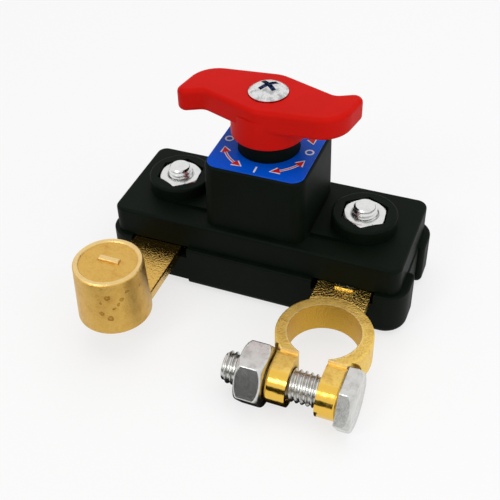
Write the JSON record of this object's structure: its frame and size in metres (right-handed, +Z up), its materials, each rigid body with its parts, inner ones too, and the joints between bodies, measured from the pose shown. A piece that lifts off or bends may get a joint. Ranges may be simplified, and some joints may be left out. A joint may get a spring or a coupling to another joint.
{
  "type": "battery terminal disconnect switch",
  "caption": "Rotary battery disconnect switch: black two-part housing with a red winged knob, a brass clamp ring for the battery post and a tapered brass terminal post.",
  "frame": {"origin": "middle of the housing's flat underside, on the axis that the knob turns about", "axes": "+X along the housing, towards the clamp ring's side; +Y towards the back; +Z up through the knob"},
  "size_m": [0.0768, 0.0654, 0.0537],
  "materials": {
    "black_plastic": "moulded, satin",
    "red_plastic": "moulded, satin",
    "blue_label": "printed film",
    "cast_brass": "as cast, with machined faces",
    "copper_contact": "turned and pressed",
    "zinc_steel": "zinc plated",
    "bright_steel": "bright plated",
    "rotor_nylon": "moulded",
    "seal_rubber": "soft"
  },
  "bodies": {
    "housing": {"upper_housing": "black_plastic", "lower_housing": "black_plastic", "label_plate": "blue_label", "post_bracket": "cast_brass", "clamp_bracket": "cast_brass", "left_housing_bolt": "zinc_steel", "left_housing_nut": "zinc_steel", "left_washer": "zinc_steel", "right_housing_bolt": "zinc_steel", "right_housing_nut": "zinc_steel", "right_washer": "zinc_steel", "clamp_bolt": "zinc_steel", "clamp_nut": "zinc_steel", "post_contact": "copper_contact", "clamp_contact": "copper_contact", "back_detent_ball": "bright_steel", "back_detent_spring": "bright_steel", "front_detent_ball": "bright_steel", "front_detent_spring": "bright_steel"},
    "switch_rotor": {"knob": "red_plastic", "knob_screw": "bright_steel", "rotor": "rotor_nylon", "rotor_seal": "seal_rubber", "contact_bridge": "copper_contact", "contact_spring": "bright_steel", "retaining_clip": "bright_steel"}
  },
  "joints": [
    {"name": "knob_turn", "type": "hinge", "parent": "housing", "child": "switch_rotor", "pos_m": [0, 0, 0.0425], "axis": [0, 0, 1], "continuous": true}
  ]
}
